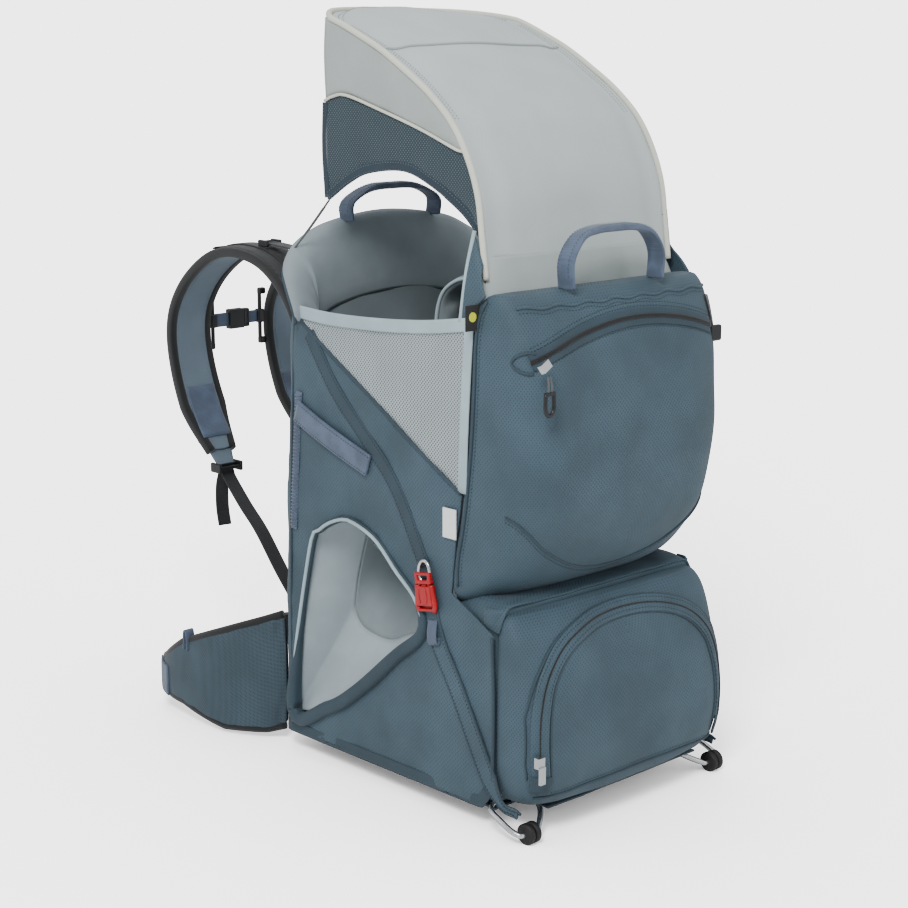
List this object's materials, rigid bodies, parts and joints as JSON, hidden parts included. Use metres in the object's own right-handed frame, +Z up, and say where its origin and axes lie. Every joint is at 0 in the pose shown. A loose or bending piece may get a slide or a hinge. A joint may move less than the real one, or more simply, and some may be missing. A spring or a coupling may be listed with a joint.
{
  "type": "baby carrier backpack",
  "caption": "Framed child carrier backpack with folding base, daypack, sunshade, padded cockpit, shoulder harness and hip belt.",
  "frame": {"origin": "centre of the whole part's footprint, on the ground it stands on", "axes": "+Z up, +Y towards the wearer, -Y towards the daypack, X across the pack"},
  "size_m": [0.41, 0.746, 0.8993],
  "materials": {
    "frame_tube": "satin dark grey powder coat",
    "bare_metal": "satin",
    "stand_wire": "bright wire",
    "foot_rubber": "matte black",
    "main_fabric": "slate blue ripstop weave",
    "side_mesh": "light grey open mesh",
    "liner_fabric": "pale blue-grey lining",
    "seat_fabric": "pale padded lining",
    "shade_fabric": "pale grey-green canopy cloth",
    "shade_mesh": "dark mesh",
    "shade_edge": "cream piping",
    "shade_cord": "elastic cord",
    "blue_webbing": "blue-grey webbing",
    "black_webbing": "black webbing",
    "pad_mesh": "black spacer mesh",
    "black_plastic": "moulded black acetal",
    "red_plastic": "moulded red",
    "tab_fabric": "plain white woven tab"
  },
  "bodies": {
    "root": {"back_frame": "frame_tube", "frame_crossbars": "frame_tube", "back_feet": "foot_rubber", "hinge_brackets": "bare_metal", "back_panel": "liner_fabric", "lumbar_pad": "pad_mesh", "torso_ladder": "black_plastic", "belt_anchors": "pad_mesh", "cockpit_rim": "liner_fabric", "side_panel_left": "main_fabric", "side_panel_right": "main_fabric", "mesh_panel_left": "side_mesh", "mesh_panel_right": "side_mesh", "base_panel": "main_fabric", "side_handles": "blue_webbing", "upper_stays": "blue_webbing", "strap_webbing_left": "black_webbing", "strap_webbing_right": "black_webbing"},
    "brace_back": {"brace_bars_back": "bare_metal", "brace_mid_rod": "bare_metal"},
    "brace_front": {"brace_bars_front": "bare_metal"},
    "rear": {"rear_stand": "stand_wire", "stand_brackets": "bare_metal", "front_feet": "foot_rubber", "daypack": "main_fabric", "lower_bag": "main_fabric", "seat_back": "liner_fabric", "canopy_pivots": "black_plastic", "lower_stays": "blue_webbing", "side_buckle_female_left": "red_plastic", "side_buckle_female_right": "red_plastic", "side_tabs": "tab_fabric", "compression_pulls": "black_plastic"},
    "side_release_l": {"side_buckle_male_left": "red_plastic"},
    "side_release_r": {"side_buckle_male_right": "red_plastic"},
    "canopy": {"canopy_hoop": "shade_edge", "canopy_sheet": "shade_fabric", "canopy_side_left": "shade_mesh", "canopy_side_right": "shade_mesh", "canopy_cords": "shade_cord"},
    "harness": {"yoke": "pad_mesh", "shoulder_strap_left": "pad_mesh", "shoulder_strap_right": "pad_mesh", "load_lifters": "black_webbing", "strap_adjusters": "black_plastic", "sternum_rails": "black_plastic"},
    "sternum_l": {"sternum_left": "black_plastic"},
    "sternum_r": {"sternum_right": "black_plastic"},
    "sternum_m": {"sternum_buckle_male": "black_plastic"},
    "belt_left": {"belt_wing_left": "main_fabric", "belt_buckle_female": "black_plastic"},
    "belt_right": {"belt_wing_right": "main_fabric", "belt_buckle_male": "black_plastic"},
    "seat": {"saddle": "seat_fabric"},
    "child_pads": {"child_harness": "seat_fabric"},
    "zip_slider": {"daypack_zip_slider": "black_plastic"},
    "zip_cord": {"daypack_zip_cord": "black_plastic"},
    "lower_slider": {"lower_zip_slider": "black_plastic"},
    "handle_top": {"top_handle": "blue_webbing"},
    "handle_front": {"front_handle": "blue_webbing"}
  },
  "joints": [
    {"name": "base_fold", "type": "hinge", "parent": "root", "child": "brace_back", "pos_m": [0, 0.031, 0.046], "axis": [-1, 0, 0], "range_deg": [0, 68], "deforming": ["side_panel_left", "side_panel_right", "mesh_panel_left", "mesh_panel_right", "base_panel", "side_handles", "upper_stays", "saddle", "child_harness"]},
    {"name": "brace_mid", "type": "hinge", "parent": "brace_back", "child": "brace_front", "pos_m": [0, -0.134, 0.046], "axis": [-1, 0, 0], "range_deg": [-136, 0]},
    {"name": "stand_pivot", "type": "hinge", "parent": "brace_front", "child": "rear", "pos_m": [0, -0.299, 0.046], "axis": [-1, 0, 0], "range_deg": [0, 68]},
    {"name": "canopy_tilt", "type": "hinge", "parent": "rear", "child": "canopy", "pos_m": [0, -0.264, 0.604], "axis": [1, 0, 0], "range_deg": [0, 25]},
    {"name": "torso_adjust", "type": "slide", "parent": "root", "child": "harness", "axis": [0, 0, 1], "range_m": [-0.04, 0.04], "deforming": ["strap_webbing_left", "strap_webbing_right"]},
    {"name": "sternum_height", "type": "slide", "parent": "harness", "child": "sternum_l", "axis": [0, 0, 1], "range_m": [-0.02, 0.02]},
    {"name": "sternum_height_right", "type": "slide", "parent": "harness", "child": "sternum_r", "axis": [0, 0, 1], "range_m": [-0.02, 0.02]},
    {"name": "sternum_release", "type": "slide", "parent": "sternum_r", "child": "sternum_m", "axis": [1, 0, 0], "range_m": [0, 0.014]},
    {"name": "belt_swing_left", "type": "hinge", "parent": "root", "child": "belt_left", "pos_m": [-0.15, 0.076, 0.09], "axis": [0, 0, 1], "range_deg": [-3, 35]},
    {"name": "belt_swing_right", "type": "hinge", "parent": "root", "child": "belt_right", "pos_m": [0.15, 0.076, 0.09], "axis": [0, 0, -1], "range_deg": [-3, 35]},
    {"name": "seat_height", "type": "slide", "parent": "root", "child": "seat", "axis": [0, 0, 1], "range_m": [-0.025, 0.035]},
    {"name": "child_harness_height", "type": "slide", "parent": "rear", "child": "child_pads", "axis": [0, 0, 1], "range_m": [-0.06, 0.02]},
    {"name": "side_release_left", "type": "slide", "parent": "rear", "child": "side_release_l", "axis": [0, 0.1683, 0.9857], "range_m": [0, 0.02]},
    {"name": "side_release_right", "type": "slide", "parent": "rear", "child": "side_release_r", "axis": [0, 0.1683, 0.9857], "range_m": [0, 0.02]},
    {"name": "daypack_zip", "type": "hinge", "parent": "rear", "child": "zip_slider", "pos_m": [0.01, -0.4712, 0.2158], "axis": [0, 0.9438, -0.3305], "range_deg": [0, 20]},
    {"name": "zip_cord_swing", "type": "hinge", "parent": "zip_slider", "child": "zip_cord", "pos_m": [-0.152, -0.3695, 0.521], "axis": [-1, 0, 0], "range_deg": [0, 60]},
    {"name": "lower_zip", "type": "slide", "parent": "rear", "child": "lower_slider", "axis": [0, 0, 1], "range_m": [0, 0.09]},
    {"name": "top_handle_lean", "type": "hinge", "parent": "rear", "child": "handle_top", "pos_m": [0, -0.318, 0.602], "axis": [1, 0, 0], "range_deg": [-10, 45], "stiffness_Nm_per_rad": 0.05},
    {"name": "front_handle_lean", "type": "hinge", "parent": "root", "child": "handle_front", "pos_m": [0, 0.047, 0.65], "axis": [1, 0, 0], "range_deg": [-40, 30], "stiffness_Nm_per_rad": 0.05}
  ],
  "couplings": [
    {"joint": "brace_mid", "follows": "base_fold", "ratio": -2},
    {"joint": "stand_pivot", "follows": "base_fold", "ratio": 1},
    {"joint": "sternum_height_right", "follows": "sternum_height", "ratio": 1}
  ]
}
